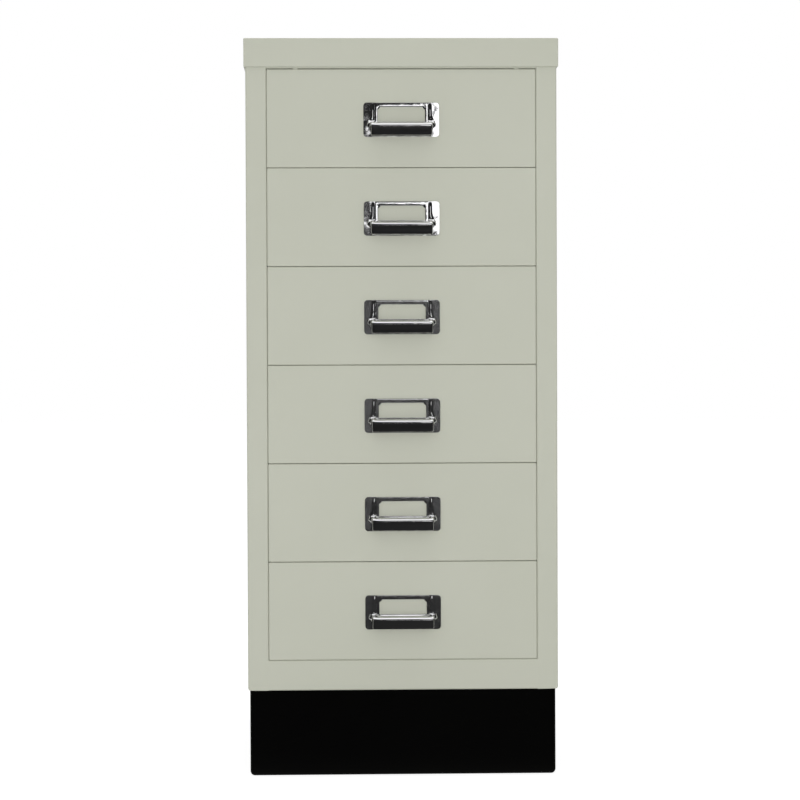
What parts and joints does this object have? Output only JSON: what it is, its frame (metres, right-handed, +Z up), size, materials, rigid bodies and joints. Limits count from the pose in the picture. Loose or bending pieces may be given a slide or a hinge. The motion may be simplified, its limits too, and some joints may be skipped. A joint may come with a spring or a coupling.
{
  "type": "drawer cabinet",
  "caption": "Slim free-standing steel cabinet with shallow stacked drawers, chrome pulls with label windows, a pressed top cap and a black plinth",
  "frame": {"origin": "on the floor, under the middle of the overall footprint, pulls included", "axes": "+Z up, the drawer fronts face -Y, +X to the right when facing the drawers"},
  "size_m": [0.2822, 0.395, 0.663],
  "materials": {
    "paint": "satin grey-green powder coat",
    "plinth": "black powder coat",
    "chrome": "polished",
    "nylon": "natural nylon",
    "zinc": "bright zinc plate"
  },
  "bodies": {
    "carcass": {"side_left": "paint", "side_right": "paint", "back_panel": "paint", "base_panel": "paint", "bottom_rail": "paint", "top_rail": "paint", "top_cap": "paint", "plinth_front": "plinth", "plinth_back": "plinth", "plinth_left": "plinth", "plinth_right": "plinth", "plinth_screws": "zinc", "plinth_nuts": "zinc", "runner_pads_left": "nylon", "runner_pads_right": "nylon", "runner_left_1": "paint", "runner_right_1": "paint", "runner_left_2": "paint", "runner_right_2": "paint", "runner_left_3": "paint", "runner_right_3": "paint", "runner_left_4": "paint", "runner_right_4": "paint", "runner_left_5": "paint", "runner_right_5": "paint", "runner_left_6": "paint", "runner_right_6": "paint"},
    "drawer_1": {"drawer_1_front": "paint", "drawer_1_tray": "paint", "drawer_1_pull": "chrome", "drawer_1_glides": "nylon", "drawer_1_screws": "zinc"},
    "drawer_2": {"drawer_2_front": "paint", "drawer_2_tray": "paint", "drawer_2_pull": "chrome", "drawer_2_glides": "nylon", "drawer_2_screws": "zinc"},
    "drawer_3": {"drawer_3_front": "paint", "drawer_3_tray": "paint", "drawer_3_pull": "chrome", "drawer_3_glides": "nylon", "drawer_3_screws": "zinc"},
    "drawer_4": {"drawer_4_front": "paint", "drawer_4_tray": "paint", "drawer_4_pull": "chrome", "drawer_4_glides": "nylon", "drawer_4_screws": "zinc"},
    "drawer_5": {"drawer_5_front": "paint", "drawer_5_tray": "paint", "drawer_5_pull": "chrome", "drawer_5_glides": "nylon", "drawer_5_screws": "zinc"},
    "drawer_6": {"drawer_6_front": "paint", "drawer_6_tray": "paint", "drawer_6_pull": "chrome", "drawer_6_glides": "nylon", "drawer_6_screws": "zinc"}
  },
  "joints": [
    {"name": "drawer_1_slide", "type": "slide", "parent": "carcass", "child": "drawer_1", "axis": [0, -1, 0], "range_m": [0, 0.2805]},
    {"name": "drawer_2_slide", "type": "slide", "parent": "carcass", "child": "drawer_2", "axis": [0, -1, 0], "range_m": [0, 0.2805]},
    {"name": "drawer_3_slide", "type": "slide", "parent": "carcass", "child": "drawer_3", "axis": [0, -1, 0], "range_m": [0, 0.2805]},
    {"name": "drawer_4_slide", "type": "slide", "parent": "carcass", "child": "drawer_4", "axis": [0, -1, 0], "range_m": [0, 0.2805]},
    {"name": "drawer_5_slide", "type": "slide", "parent": "carcass", "child": "drawer_5", "axis": [0, -1, 0], "range_m": [0, 0.2805]},
    {"name": "drawer_6_slide", "type": "slide", "parent": "carcass", "child": "drawer_6", "axis": [0, -1, 0], "range_m": [0, 0.2805]}
  ]
}
